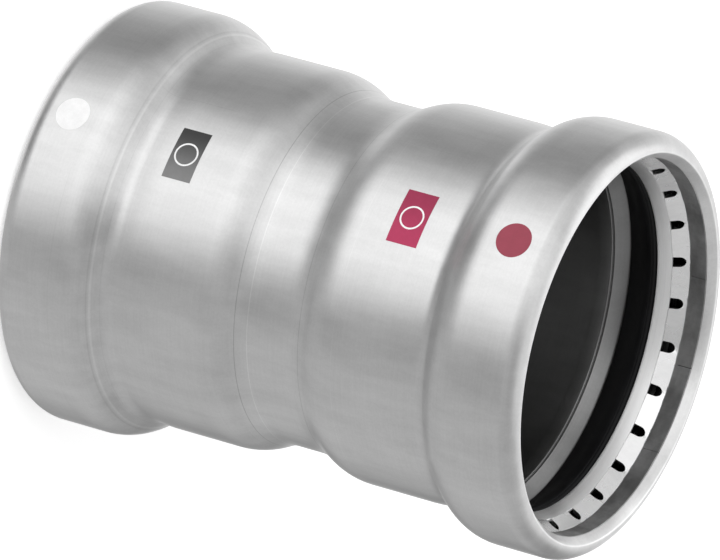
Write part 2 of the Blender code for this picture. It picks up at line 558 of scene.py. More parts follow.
@dataclass(frozen=True)
class FormedSteel:
    """Satin plated steel with a fine grain round the axis, the lines that forming leaves, and painted light:
    shade inside, a highlight on the lip's edge, and a highlight and shade at the lower bead's foot.
    """

    name: str = "formed_satin_steel"
    colour: Colour = (0.62, 0.62, 0.62)
    roughness: Range = (0.3, 0.38)
    anisotropy: float = 0.6
    anisotropy_turn: float = 0.25
    cloud: Pattern = Pattern(55.0, 40.0, 4.0, 0.55)
    smear: Pattern = Pattern(260.0, 45.0, 5.0, 0.6)
    grain: Pattern = Pattern(60.0, 2200.0, 3.0, 0.6)
    speck: Pattern = Pattern(1600.0, 1600.0, 2.0, 0.6)
    cloud_shade: float = 0.13
    smear_shade: float = 0.09
    grain_shade: float = 0.04
    speck_shade: float = 0.05
    shade_reach: float = 0.25
    # painted shade: inside walls darkened in colour; painted highlight: the lip's trimmed edge lightened in
    # colour
    inside_painted_shade: float = 0.44
    inside_blend: float = 5 * MM
    lip_painted_highlight: float = 1.22
    lip_from: float = 68.0 * MM
    lip_blend: float = 2 * MM
    relief: float = 0.2
    relief_height: float = 0.02 * MM
    line_relief: float = 2.0
    marks: tuple[DieMarkAndPaintedSheen, ...] = (
        DieMarkAndPaintedSheen(-9.45 * MM, 0.16 * MM, -0.3),
        DieMarkAndPaintedSheen(-6.25 * MM, 0.2 * MM, 0.16),
        DieMarkAndPaintedSheen(8.7 * MM, 0.2 * MM, -0.2),
        # painted shade and painted highlight at the tight bend of the lower bead's foot, standing in for its
        # reflection
        DieMarkAndPaintedSheen(-48.9 * MM, 0.3 * MM, -0.1),
        DieMarkAndPaintedSheen(-48.2 * MM, 0.4 * MM, 0.13),
        DieMarkAndPaintedSheen(-46.25 * MM, 0.12 * MM, -0.08),
        DieMarkAndPaintedSheen(-58.25 * MM, 0.15 * MM, -0.06),
        DieMarkAndPaintedSheen(20.0 * MM, 0.15 * MM, 0.06),
    )
    scratches: tuple[Scratch, ...] = (
        Scratch(-19.0, -48.75 * MM, -25.0 * MM, -0.12),
        Scratch(-39.0, -20.0 * MM, 12.0 * MM, 0.08),
        Scratch(-25.0, 15.0 * MM, 38.0 * MM, -0.07),
    )

    def mark_shade(self, graph: Graph) -> Signal:
        """Draw the die marks, and the painted highlight and painted shade at the lower bead's foot.

        Args:
            graph: The material's node tree.

        Returns:
            How much they lighten or darken a point.
        """
        shades = []
        for mark in self.marks:
            off_line = graph.away(graph.split("Z"), MIDDLE + mark.along)
            shades.append(graph.ramp(off_line, 0.0, mark.width, mark.shade, 0.0))
        return graph.math("ADD", 0.0, *shades)

    def scratch_shade(self, graph: Graph) -> Signal:
        """Draw the scratches.

        Args:
            graph: The material's node tree.

        Returns:
            How much they lighten or darken a point.
        """
        shades = []
        for scratch in self.scratches:
            outward = bearing(scratch.azimuth)
            sideways = Vector((-outward.y, outward.x, 0.0))
            off_line = graph.math("ABSOLUTE", graph.dot(graph.place(), sideways))
            line = graph.ramp(off_line, 0.0, scratch.width, scratch.shade, 0.0)
            front = graph.math("GREATER_THAN", graph.dot(graph.place(), outward), 0.0)
            half = (scratch.high - scratch.low) / 2
            off_middle = graph.away(graph.split("Z"), MIDDLE + scratch.low + half)
            within = graph.ramp(off_middle, half - scratch.end, half, 1.0, 0.0)
            shades.append(graph.math("MULTIPLY", line, front, within))
        return graph.math("ADD", 0.0, *shades)

    def painted_wall_light(self, graph: Graph) -> Signal:
        """Paint shade on the inside, and a painted highlight on the trimmed edge of the lip.

        Args:
            graph: The material's node tree.

        Returns:
            The factor for a point's colour.
        """
        # painted shade on walls that face the axis, turning into a painted highlight at the lip's trimmed
        # edge
        inside = graph.ramp(graph.facing_out(), -self.inside_blend, self.inside_blend, 1.0, 0.0)
        lip_blend_from = self.lip_from - self.lip_blend
        shades = (self.inside_painted_shade - 1.0, self.lip_painted_highlight - 1.0)
        gain = graph.ramp(graph.from_middle(), lip_blend_from, self.lip_from, *shades)
        return graph.math("ADD", 1.0, graph.math("MULTIPLY", inside, gain))

    def build(self) -> bpy.types.Material:
        """Make the material.

        Returns:
            The finished material.
        """
        graph = Graph(self.name)
        cloud, smear, grain, speck = (
            graph.noise(pattern) for pattern in (self.cloud, self.smear, self.grain, self.speck)
        )
        lines = graph.math("ADD", self.mark_shade(graph), self.scratch_shade(graph))
        layers = (
            (cloud, self.cloud_shade),
            (smear, self.smear_shade),
            (grain, self.grain_shade),
            (speck, self.speck_shade),
        )
        shades = [graph.vary(noise, -depth / 2, depth / 2, self.shade_reach) for noise, depth in layers]
        shade = graph.math("MULTIPLY", graph.math("ADD", 1.0, lines, *shades), self.painted_wall_light(graph))
        fine = graph.math("MULTIPLY", graph.math("ADD", grain, speck), 0.5)
        height = graph.math("ADD", fine, graph.math("MULTIPLY", lines, self.line_relief))
        return graph.dress({
            "Base Color": graph.tint(self.colour, shade),
            "Roughness": graph.vary(cloud, *self.roughness),
            "Metallic": 1.0,
            "Anisotropic": self.anisotropy,
            "Anisotropic Rotation": self.anisotropy_turn,
            "Tangent": graph.add("Tangent", {}, direction_type="RADIAL", axis="Z").outputs[0],
            "Normal": graph.bump(height, self.relief, self.relief_height),
        })


@dataclass(frozen=True)
class SpringSteel:
    """Rolled spring steel: clean bright teeth, a band towards the mouth darkened in colour as painted shade
    with a random mottle, and painted shade behind the teeth.
    """

    name: str = "rolled_spring_steel"
    colour: Colour = (0.92, 0.92, 0.92)
    roughness: Range = (0.23, 0.3)
    cloud: Pattern = Pattern(120.0, 120.0, 3.0, 0.5)
    band_mottle: Pattern = Pattern(75.0, 110.0, 5.0, 0.62)
    streak: Pattern = Pattern(900.0, 90.0, 2.0, 0.6)
    streak_shade: float = 0.02
    band_from: float = 67.65 * MM
    band_blend: float = 0.1 * MM
    # painted shade: how dark the band towards the mouth is painted, mottled at random
    band_painted_shade: Range = (0.48, 0.88)
    band_roughness: float = 0.16
    cavity_from: float = 49.4 * MM
    cavity_blend: float = 0.3 * MM
    # painted shade on the outer wall behind the teeth
    cavity_painted_shade: float = 0.015
    relief: float = 0.08
    relief_height: float = 0.01 * MM

    def build(self) -> bpy.types.Material:
        """Make the material.

        Returns:
            The finished material.
        """
        graph = Graph(self.name)
        cloud, band_mottle, streak = (graph.noise(pattern) for pattern in (self.cloud, self.band_mottle, self.streak))
        band_starts, band_full = self.band_from - self.band_blend, self.band_from + self.band_blend
        band = graph.ramp(graph.from_middle(), band_starts, band_full, 0.0, 1.0)
        # painted shade on the band towards the mouth, mottled at random
        painted_band_shade = graph.vary(band_mottle, *self.band_painted_shade)
        blend = graph.add("Mix", {0: band, 2: 1.0, 3: painted_band_shade}, data_type="FLOAT").outputs[0]
        shade = graph.math("ADD", blend, graph.vary(streak, -self.streak_shade, self.streak_shade))
        # painted shade: the outer wall behind the teeth is darkened in colour
        cavity_starts = self.cavity_from - self.cavity_blend
        cavity_full = self.cavity_from + self.cavity_blend
        cavity = graph.ramp(graph.from_axis(), cavity_starts, cavity_full, 1.0, self.cavity_painted_shade)
        rougher = graph.math("MULTIPLY", band, self.band_roughness)
        return graph.dress({
            "Base Color": graph.tint(self.colour, graph.math("MULTIPLY", shade, cavity)),
            "Roughness": graph.math("ADD", graph.vary(cloud, *self.roughness), rougher),
            "Metallic": 1.0,
            "Normal": graph.bump(streak, self.relief, self.relief_height),
        })


@dataclass(frozen=True)
class TurnedRingSteel:
    """Smooth satin steel with a trace of its turning round the axis, and painted shade on its outer parts
    behind the teeth.
    """

    name: str = "smooth_ring_steel"
    colour: Colour = (0.93, 0.93, 0.93)
    roughness: Range = (0.39, 0.46)
    cloud: Pattern = Pattern(90.0, 90.0, 3.0, 0.5)
    grain: Pattern = Pattern(40.0, 3200.0, 2.0, 0.6)
    cloud_shade: Range = (0.97, 1.03)
    grain_shade: float = 0.02
    cavity_from: float = 46.7 * MM
    cavity_blend: float = 0.5 * MM
    # painted shade on the ring's outer parts behind the teeth
    cavity_painted_shade: float = 0.02
    relief: float = 0.15
    relief_height: float = 0.01 * MM

    def build(self) -> bpy.types.Material:
        """Make the material.

        Returns:
            The finished material.
        """
        graph = Graph(self.name)
        cloud, grain = graph.noise(self.cloud), graph.noise(self.grain)
        turning = graph.vary(grain, -self.grain_shade, self.grain_shade)
        shade = graph.math("ADD", graph.vary(cloud, *self.cloud_shade), turning)
        # painted shade: the relief and outside of the ring are darkened in colour
        cavity_full = self.cavity_from + self.cavity_blend
        cavity = graph.ramp(graph.from_axis(), self.cavity_from, cavity_full, 1.0, self.cavity_painted_shade)
        return graph.dress({
            "Base Color": graph.tint(self.colour, graph.math("MULTIPLY", shade, cavity)),
            "Roughness": graph.vary(cloud, *self.roughness),
            "Metallic": 1.0,
            "Normal": graph.bump(grain, self.relief, self.relief_height),
        })


@dataclass(frozen=True)
class SealRubber:
    """Black moulded rubber with a soft, slightly uneven sheen."""

    name: str = "black_seal_rubber"
    colour: Colour = (0.006, 0.006, 0.0065)
    roughness: Range = (0.45, 0.58)
    gloss: float = 0.2
    cloud: Pattern = Pattern(140.0, 140.0, 3.0, 0.5)
    pores: Pattern = Pattern(2600.0, 2600.0, 2.0, 0.6)
    cloud_shade: Range = (0.8, 1.3)
    relief: float = 0.2
    relief_height: float = 0.02 * MM

    def build(self) -> bpy.types.Material:
        """Make the material.

        Returns:
            The finished material.
        """
        graph = Graph(self.name)
        cloud, pores = graph.noise(self.cloud), graph.noise(self.pores)
        return graph.dress({
            "Base Color": graph.tint(self.colour, graph.vary(cloud, *self.cloud_shade)),
            "Roughness": graph.vary(cloud, *self.roughness),
            "Specular IOR Level": self.gloss,
            "Normal": graph.bump(pores, self.relief, self.relief_height),
        })


@dataclass(frozen=True)
class Ink:
    """Printing ink on steel, thin enough to keep some of the metal's lustre, and darker towards one side."""

    name: str
    colour: Colour
    lustre: float
    fade: float = 0.0
    fade_reach: float = 7 * MM
    roughness: Range = (0.41, 0.49)
    cloud: Pattern = Pattern(500.0, 500.0, 3.0, 0.6)
    speck: Pattern = Pattern(2600.0, 2600.0, 2.0, 0.6)
    cloud_shade: Range = (0.96, 1.03)
    speck_shade: float = 0.02
    relief: float = 0.1
    relief_height: float = 0.01 * MM

    def build(self) -> bpy.types.Material:
        """Make the material.

        Returns:
            The finished material.
        """
        graph = Graph(self.name)
        cloud, speck = graph.noise(self.cloud), graph.noise(self.speck)
        specks = graph.vary(speck, -self.speck_shade, self.speck_shade)
        shade = graph.math("ADD", graph.vary(cloud, *self.cloud_shade), specks)
        side, reach = graph.split("X"), self.fade_reach
        thin = graph.ramp(side, -reach, reach, 1.0 - self.fade, 1.0 + self.fade)
        return graph.dress({
            "Base Color": graph.tint(self.colour, graph.math("MULTIPLY", shade, thin)),
            "Roughness": graph.vary(speck, *self.roughness),
            "Metallic": self.lustre,
            "Normal": graph.bump(speck, self.relief, self.relief_height),
        })


@dataclass
class Sleeve:
    """The sleeve, formed from one piece of tube: waist, two barrels, necks, beads and rolled lips."""

    finish: FormedSteel = FormedSteel()
    segments: int = 240
    wall: float = 2.8 * MM
    lip_wall: float = 2.15 * MM
    waist_radius: float = 44.75 * MM
    barrel_radius: float = 48.95 * MM
    neck_radius: float = 48.5 * MM
    mouth_radius: float = 48.2 * MM
    waist_half: float = 3.65 * MM
    waist_slope: float = 30.0
    barrel_end: float = 36.5 * MM
    neck_taper: float = 6.0
    neck_taper_bend: float = 40.0 * MM
    neck_bend: float = 5.8 * MM
    bead_slope: float = 42.0
    bead_bend: float = 12.0 * MM
    lip_bend: float = 5.2 * MM
    lip_crest_bend: float = 3.7 * MM
    lip_crest: float = 30.0
    lip_nose: float = 0.6 * MM
    lip_nose_turn: float = 45.0
    lip_nose_facet: float = 8.0
    lip_heel: float = 0.12 * MM
    seat: float = 47.1 * MM
    seat_line: float = 0.45 * MM
    seat_line_depth: float = 0.25 * MM
    seat_line_back: float = 0.1 * MM
    seat_line_ease: float = 0.08 * MM
    seat_step: float = 0.35 * MM
    seat_step_back: float = 0.05 * MM
    seat_edge: float = 0.25 * MM
    bore_edge: float = 3.6 * MM

    def outside(self) -> list[tuple[float, float, float]]:
        """Follow the outer surface from the middle to the crest of the lip.

        Returns:
            Its stations: the place along the axis, the radius and the heading of each.
        """
        waist_turn = math.radians(self.waist_slope)
        waist_bend = (self.barrel_radius - self.waist_radius) / (2 * (1 - math.cos(waist_turn)))
        barrel_start = self.waist_half + 2 * waist_bend * math.sin(waist_turn)
        taper = math.radians(self.neck_taper)
        neck_drop = self.barrel_radius - self.neck_radius
        taper_drop = (self.neck_taper_bend + self.neck_bend) * (1 - math.cos(taper))
        climb = math.radians(self.bead_slope)
        bead_rise = BEAD_RADIUS - self.neck_radius
        bend_rise = (self.neck_bend + self.bead_bend) * (1 - math.cos(climb))
        route = Route(self.waist_radius)
        route.run(self.waist_half)
        route.bend(waist_bend, self.waist_slope).bend(waist_bend, -self.waist_slope)
        route.run(self.barrel_end - barrel_start)
        route.bend(self.neck_taper_bend, -self.neck_taper)
        route.run((neck_drop - taper_drop) / math.sin(taper))
        route.bend(self.neck_bend, self.neck_taper + self.bead_slope)
        route.run((bead_rise - bend_rise) / math.sin(climb))
        route.bend(self.bead_bend, -self.bead_slope)
        shoulder = math.sin(math.radians(90.0 - self.lip_crest))
        lip_height = self.lip_bend * shoulder + self.lip_crest_bend * (1 - shoulder)
        route.run(LENGTH / 2 - lip_height - route.along)
        route.bend(self.lip_bend, self.lip_crest - 90.0).bend(self.lip_crest_bend, -self.lip_crest)
        return route.stations

    def wall_at(self, heading: float) -> float:
        """Find the wall's thickness, which thins as the sheet rolls in at the lip.

        Args:
            heading: Where the outer surface heads, in radians from straight up the axis.

        Returns:
            The thickness there.
        """
        if heading >= -math.radians(self.neck_taper + 1):
            return self.wall
        rolled = -heading / math.radians(90)
        return self.wall + (self.lip_wall - self.wall) * rolled

    def half_section(self) -> list[Corner]:
        """Draw the upper half, out along the outside and back along the inside.

        Returns:
            Its corners.
        """
        stations = self.outside()
        corners = [Corner(self.waist_radius, 0.0)]
        corners += [Corner(radius, along) for along, radius, _ in stations]
        crest = corners[-1]
        nose = Route(crest.radius, self.lip_nose_facet, crest.along, math.radians(-90.0))
        nose.bend(self.lip_nose, -self.lip_nose_turn)
        corners += [Corner(radius, along) for along, radius, _ in nose.stations]
        corners.append(Corner(self.mouth_radius, LENGTH / 2 - self.lip_wall, self.lip_heel))
        inside = []
        for along, radius, heading in reversed(stations):
            wall = self.wall_at(heading)
            inside.append(Corner(radius - wall * math.cos(heading), along + wall * math.sin(heading)))
        socket = [corner for corner in inside if corner.along > self.seat + 2 * self.wall / 3]
        middle = [corner for corner in inside if corner.along < self.seat - self.bore_edge]
        corners += socket + self.seal_seat(socket[-1]) + middle
        corners.append(Corner(self.waist_radius - self.wall, 0.0))
        return corners

    def seal_seat(self, cone: Corner) -> list[Corner]:
        """Draw the crisp inner neck: the seal's cone, down to a fine line and the bore's edge behind it.

        Args:
            cone: The corner at which the cone starts.

        Returns:
            The corners that follow it.
        """
        bore = self.neck_radius - self.wall
        cone_foot = cone.radius - (cone.along - self.seat) * math.tan(math.radians(self.bead_slope))
        line_end = self.seat - self.seat_line_back
        line_start = line_end - self.seat_line
        line_radius = cone_foot + self.seat_line_depth
        return [
            Corner(cone_foot, self.seat),
            Corner(line_radius, line_end, self.seat_line_ease),
            Corner(line_radius, line_start, self.seat_line_ease),
            Corner(bore + self.seat_step, line_start - self.seat_step_back, self.seat_edge),
        ]

    def build(self) -> bpy.types.Object:
        """Turn one half, mirror it, and put it in the coupling's place.

        Returns:
            The finished sleeve.
        """
        piece = Section("sleeve", self.half_section(), closed=False).turn(self.segments)
        mirror = piece.modifiers.new("other_half", "MIRROR")
        mirror.use_axis = (False, False, True)
        mirror.merge_threshold = MERGE
        apply_modifier(piece, mirror)
        piece.location = CENTRE
        settle(piece, self.finish.build())
        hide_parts("coupling_body")
        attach(piece, "root")
        return piece


@dataclass
class GripRing:
    """The toothed ring behind a lip: flat teeth with round-rooted gaps, a slit band and an outer wall."""

    finish: bpy.types.Material
    teeth: int = 26
    slits: int = 13
    sheet: float = 1.2 * MM
    back: float = 63.6 * MM
    front: float = 72.2 * MM
    tip_radius: float = 46.0 * MM
    root: float = 67.4 * MM
    root_radius: float = 48.1 * MM
    band_start: float = 67.85 * MM
    band_radius: float = 48.2 * MM
    band_crease: Range = (0.12 * MM, 0.26 * MM)
    valley: float = 0.06 * MM
    roll_depth: float = 1.8 * MM
    shoulder_ease: float = 0.9 * MM
    shoulder_inner_ease: float = 0.5 * MM
    roll_ease: float = 0.4 * MM
    roll_inner_ease: float = 0.3 * MM
    wall_ease: float = 0.2 * MM
    mouth_ease: float = 0.12 * MM
    gap_width: float = 2.75 * MM
    gap_end: float = 66.6 * MM
    gap_rounding: float = 0.499
    gap_facets: int = 9
    slit_width: float = 0.16 * MM
    slit_depth: float = 1.56 * MM
    slit_ahead: float = 4.4
    turned: float = 4.8
    columns: int = 12
    edge: float = 0.14 * MM
    edge_facets: int = 2
    edge_turn: float = 50.0
    joint: float = 0.3 * MM

    @property
    def pitch(self) -> float:
        """The angle from one tooth to the next, in radians."""
        return math.tau / self.teeth

    @property
    def slope(self) -> float:
        """How fast the teeth widen towards the mouth."""
        return (self.root_radius - self.tip_radius) / (self.root - self.back)

    @property
    def tip_back(self) -> float:
        """The radius of the outer face of the teeth at their tips."""
        return self.tip_radius + self.sheet * math.hypot(1, self.slope)

    def section(self) -> list[Corner]:
        """Draw the section through one tooth, whose own corners have the radius of its edges.

        Returns:
            Its corners.
        """
        corner = 1 / math.cos(self.pitch / 2)
        band_back = self.band_radius + self.sheet
        wall_inside = RING_RADIUS - self.sheet
        shoulder = self.front - (RING_RADIUS - band_back) - self.joint
        crease_start, crease_end = (self.root + along for along in self.band_crease)
        return [
            Corner(RING_RADIUS, shoulder, self.shoulder_ease),
            Corner(RING_RADIUS, self.back, self.wall_ease),
            Corner(wall_inside, self.back, self.wall_ease),
            Corner(wall_inside, shoulder - self.sheet / 2, self.shoulder_inner_ease),
            Corner(band_back, self.front - self.roll_depth, self.roll_inner_ease),
            Corner(band_back, self.back + (band_back - self.tip_back) / self.slope),
            Corner(self.tip_back * corner, self.back),
            Corner(self.tip_radius * corner, self.back),
            Corner(self.root_radius * corner, self.root),
            Corner(self.band_radius + self.valley, crease_start),
            Corner(self.band_radius - self.valley, crease_end),
            Corner(self.band_radius, self.band_start),
            Corner(self.band_radius, self.front, self.mouth_ease),
            Corner(band_back, self.front, self.roll_ease),
        ]

    def sector(self, name: str) -> bpy.types.Object:
        """Turn the section through one pitch and flatten its tooth, row by row.

        Args:
            name: The object's name.

        Returns:
            One tooth's part of the ring.
        """
        piece = Section(name, self.section()).turn(self.columns, self.pitch, -self.pitch / 2)
        rows = ((self.tip_radius, self.back), (self.tip_back, self.back), (self.root_radius, self.root))
        for flat, along in rows:
            edges_at = Vector((flat / math.cos(self.pitch / 2), along))
            edit(piece)
            select_places(piece, lambda co, at=edges_at: (Vector((co.xy.length, co.z)) - at).length < NEAR)
            bpy.ops.transform.resize(value=(0.0, 1.0, 1.0), center_override=(flat, 0.0, along))
        return piece

    def around(self, piece: bpy.types.Object, count: int) -> None:
        """Repeat all of a piece's mesh round the axis.

        Args:
            piece: The object to repeat.
            count: How many there are in the end.
        """
        edit_all(piece)
        sweep = math.tau * (count - 1) / count
        bpy.ops.mesh.spin(steps=count - 1, dupli=True, angle=sweep, center=(0, 0, 0), axis=(0, 0, 1))
        close_seams(5 * MERGE)

    def blade(self, name: str, depth: Range, height: Range, width: float) -> bpy.types.Object:
        """Make a box that stands across +X, to cut with.

        Args:
            name: The object's name.
            depth: Its nearest and farthest place from the axis.
            height: Its lowest and highest place along the axis.
            width: How wide it is.

        Returns:
            The box, in object mode.
        """
        to_object_mode()
        bpy.ops.mesh.primitive_cube_add(
            size=1.0,
            location=(sum(depth) / 2, 0.0, sum(height) / 2),
            scale=(depth[1] - depth[0], width, height[1] - height[0]),
        )
        cutter = bpy.context.object
        cutter.name = name
        fix_place(cutter)
        return cutter

    def gap_cutter(self) -> bpy.types.Object:
        """Make the round-rooted prisms that part the teeth.

        Returns:
            The prisms, as one object.
        """
        depth = (self.tip_radius - self.gap_width, RING_RADIUS - self.sheet - self.joint)
        height = (self.back - self.gap_width, self.gap_end)
        cutter = self.blade("gap_cutter", depth, height, self.gap_width)
        edit(cutter)
        self.select_root_edges(cutter)
        bpy.ops.mesh.bevel(
            offset=self.gap_rounding * self.gap_width,
            segments=self.gap_facets,
            affect="EDGES",
        )
        cutter.rotation_euler.z = self.pitch / 2
        fix_place(cutter)
        self.around(cutter, self.teeth)
        return cutter

    def select_root_edges(self, cutter: bpy.types.Object) -> None:
        """Select the edges at a gap's root that run outwards from the axis.

        Args:
            cutter: The prism, open in edit mode.
        """
        bpy.ops.mesh.select_mode(type="EDGE")
        mesh = bmesh.from_edit_mesh(cutter.data)
        for line in mesh.edges:
            first, second = (vertex.co for vertex in line.verts)
            high = min(first.z, second.z) > self.gap_end - NEAR
            line.select = high and abs(first.y - second.y) < NEAR
        bmesh.update_edit_mesh(cutter.data)

    def slit_cutter(self) -> bpy.types.Object:
        """Make the thin blades that cut the slits across the band and the rolled front.

        Returns:
            The blades, as one object.
        """
        depth = (self.band_radius - self.sheet, self.band_radius + self.slit_depth)
        height = (self.band_start, self.front + self.sheet)
        cutter = self.blade("slit_cutter", depth, height, self.slit_width)
        cutter.rotation_euler.z = self.pitch / 2 - math.radians(self.slit_ahead)
        fix_place(cutter)
        self.around(cutter, self.slits)
        return cutter

    def cut(self, piece: bpy.types.Object, cutter: bpy.types.Object) -> None:
        """Cut a tool's shape out of the ring and remove the tool.

        Args:
            piece: The ring.
            cutter: The tool.
        """
        boolean = piece.modifiers.new("cut", "BOOLEAN")
        boolean.operation = "DIFFERENCE"
        boolean.solver = "EXACT"
        boolean.object = cutter
        apply_modifier(piece, boolean)
        bpy.data.objects.remove(cutter, do_unlink=True)

    def ease_edges(self, piece: bpy.types.Object) -> None:
        """Round the sharp edges of the ring a little.

        Args:
            piece: The ring.
        """
        ease = piece.modifiers.new("edges", "BEVEL")
        ease.width = self.edge
        ease.segments = self.edge_facets
        ease.limit_method = "ANGLE"
        ease.angle_limit = math.radians(self.edge_turn)
        apply_modifier(piece, ease)

    def build(self, socket: Socket) -> bpy.types.Object:
        """Make the ring and seat it in one socket.

        Args:
            socket: The end of the coupling that it goes into.

        Returns:
            The finished ring.
        """
        piece = self.sector("grip_ring_fine_" + socket.value)
        self.around(piece, self.teeth)
        self.cut(piece, self.gap_cutter())
        self.cut(piece, self.slit_cutter())
        self.ease_edges(piece)
        piece.rotation_euler.z = math.radians(self.turned) - self.pitch / 2
        fix_place(piece)
        piece.rotation_euler = socket.turn
        piece.location = CENTRE
        settle(piece, self.finish)
        keep_flats_flat(piece)
        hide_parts("grip_ring_" + socket.value)
        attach(piece, "root")
        return piece


@dataclass
class TurnedRing:
    """A ring that is turned from one closed section and seated in a socket."""

    node: ClassVar[str]
    slot: ClassVar[str]
    finish: bpy.types.Material
    segments: int = 240

    def section(self) -> list[Corner]:
        """Return the section's corners, which each kind of ring draws for itself."""
        raise NotImplementedError

    def build(self, socket: Socket) -> bpy.types.Object:
        """Make the ring and seat it in one socket.

        Args:
            socket: The end of the coupling that it goes into.

        Returns:
            The finished ring.
        """
        piece = Section(f"{self.node}_fine_{socket.value}", self.section()).turn(self.segments)
        piece.rotation_euler = socket.turn
        piece.location = CENTRE
        settle(piece, self.finish)
        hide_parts(f"{self.node}_{socket.value}")
        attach(piece, "root")
        return piece


@dataclass
class SeparatorRing(TurnedRing):
    """The smooth ring between the teeth and the seal, whose bore opens into a cone towards the teeth."""

    node: ClassVar[str] = "separator_ring"
    slot: ClassVar[str] = "separator_steel"
    back: float = 59.85 * MM
    front: float = 63.5 * MM
    bore: float = 45.0 * MM
    waist: float = 45.4 * MM
    waist_share: float = 0.35
    rim: float = 46.2 * MM
    rim_width: float = 0.5 * MM
    relief: float = 1.4 * MM
    ease: float = 0.2 * MM
    waist_ease: float = 0.5 * MM
    rim_ease: float = 0.08 * MM
    rim_outer_ease: float = 0.15 * MM
    relief_ease: float = 0.3 * MM

    def section(self) -> list[Corner]:
        """Draw the ring's section.

        Returns:
            Its corners.
        """
        waist_along = self.back + self.waist_share * (self.front - self.back)
        rim_end = self.rim + self.rim_width
        relief_start = self.front - self.relief
        return [
            Corner(RING_RADIUS, relief_start, self.ease),
            Corner(RING_RADIUS, self.back, self.ease),
            Corner(self.bore, self.back, self.ease),
            Corner(self.waist, waist_along, self.waist_ease),
            Corner(self.rim, self.front, self.rim_ease),
            Corner(rim_end, self.front, self.rim_outer_ease),
            Corner(rim_end + 2 * self.relief, relief_start, self.relief_ease),
        ]


@dataclass
class SealRing(TurnedRing):
    """The rubber seal: a heel against the wall, a long lip down to the neck, and a fine moulded line."""

    node: ClassVar[str] = "seal_ring"
    slot: ClassVar[str] = "seal_rubber"
    heel: tuple[Corner, ...] = (
        Corner(RING_RADIUS, 59.55 * MM, 0.3 * MM),
        Corner(RING_RADIUS, 56.9 * MM, 0.8 * MM),
    )
    lip: tuple[Corner, ...] = (
        Corner(50.75 * MM, 53.2 * MM, 1.2 * MM),
        Corner(48.75 * MM, 50.35 * MM, 0.2 * MM),
        Corner(48.3 * MM, 50.6 * MM, 0.2 * MM),
        Corner(46.9 * MM, 53.4 * MM, 1.1 * MM),
        Corner(45.6 * MM, 55.6 * MM, 1.0 * MM),
    )
    bore: Corner = Corner(45.0 * MM, 57.2 * MM, 0.5 * MM)
    crest: Corner = Corner(45.05 * MM, 58.2 * MM)
    line: float = 0.12 * MM
    line_slope: float = 0.2
    front: tuple[Corner, ...] = (
        Corner(45.15 * MM, 59.0 * MM, 0.2 * MM),
        Corner(45.65 * MM, 59.55 * MM, 0.3 * MM),
    )

    def section(self) -> list[Corner]:
        """Draw the seal's section.

        Returns:
            Its corners.
        """
        radius, along = self.crest.radius, self.crest.along
        moulded_line = (
            Corner(radius + self.line, along + self.line),
            Corner(radius + self.line_slope * self.line, along + 2 * self.line),
        )
        return [*self.heel, *self.lip, self.bore, self.crest, *moulded_line, *self.front]


class Outline(Enum):
    """The plain shapes that are printed on the sleeve."""

    DISC = "disc"
    OBLONG = "oblong"
    RING = "ring"


@dataclass
class PrintedMark:
    """A field of ink that lies on the sleeve's curve."""

    name: str
    outline: Outline
    ink: Ink
    along: float
    azimuth: float
    width: float
    height: float = 0.0
    lift: float = 0.04 * MM
    body: float = 0.03 * MM
    stroke: float = 0.45 * MM
    stand_off: float = 5 * MM
    columns: int = 20
    rows: int = 10
    points: int = 72
    insets: int = 6

    def start(self) -> bpy.types.Object:
        """Lay out the flat shape, with faces enough to follow a curve.

        Returns:
            The flat shape, level and at the origin.
        """
        to_object_mode()
        if self.outline is Outline.OBLONG:
            bpy.ops.mesh.primitive_grid_add(x_subdivisions=self.columns, y_subdivisions=self.rows, size=1.0)
            flat = bpy.context.object
            flat.scale = (self.width, self.height, 1.0)
            fix_place(flat)
            return flat
        filled = "NGON" if self.outline is Outline.DISC else "NOTHING"
        bpy.ops.mesh.primitive_circle_add(vertices=self.points, radius=self.width / 2, fill_type=filled)
        flat = bpy.context.object
        edit_all(flat)
        if self.outline is Outline.DISC:
            for _ in range(self.insets):
                bpy.ops.mesh.inset(thickness=self.width / (2 * self.insets + 2), depth=0.0)
            return flat
        inner = 1 - 2 * self.stroke / self.width
        bpy.ops.mesh.extrude_edges_move()
        bpy.ops.transform.resize(value=(inner, inner, 1.0), center_override=(0, 0, 0))
        return flat

    def wrap(self, flat: bpy.types.Object, sleeve: bpy.types.Object) -> None:
        """Hang the flat shape before the sleeve and press it on.

        Args:
            flat: The flat shape.
            sleeve: The sleeve that it is printed on.
        """
        outward = bearing(self.azimuth)
        flat.location = outward * (BEAD_RADIUS + self.stand_off) + Vector((0.0, 0.0, MIDDLE + self.along))
        flat.rotation_euler = Euler((math.pi / 2, 0.0, math.radians(self.azimuth)))
        wrap = flat.modifiers.new("wrap", "SHRINKWRAP")
        wrap.target = sleeve
        wrap.wrap_method = "PROJECT"
        wrap.use_project_z = True
        wrap.use_positive_direction = False
        wrap.use_negative_direction = True
        wrap.offset = self.lift
        apply_modifier(flat, wrap)

    def build(self, sleeve: bpy.types.Object) -> bpy.types.Object:
        """Wrap the shape on the sleeve, give it the ink's thickness and let it ride with the coupling.

        Args:
            sleeve: The sleeve that it is printed on.

        Returns:
            The finished mark.
        """
        flat = self.start()
        pick(flat)
        flat.name = self.name
        flat.data.name = self.name
        self.wrap(flat, sleeve)
        thick = flat.modifiers.new("ink", "SOLIDIFY")
        thick.thickness = self.body
        thick.offset = -1.0
        apply_modifier(flat, thick)
        edit_all(flat)
        bpy.ops.mesh.normals_make_consistent(inside=False)
        settle(flat, self.ink.build())
        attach(flat, "root")
        return flat


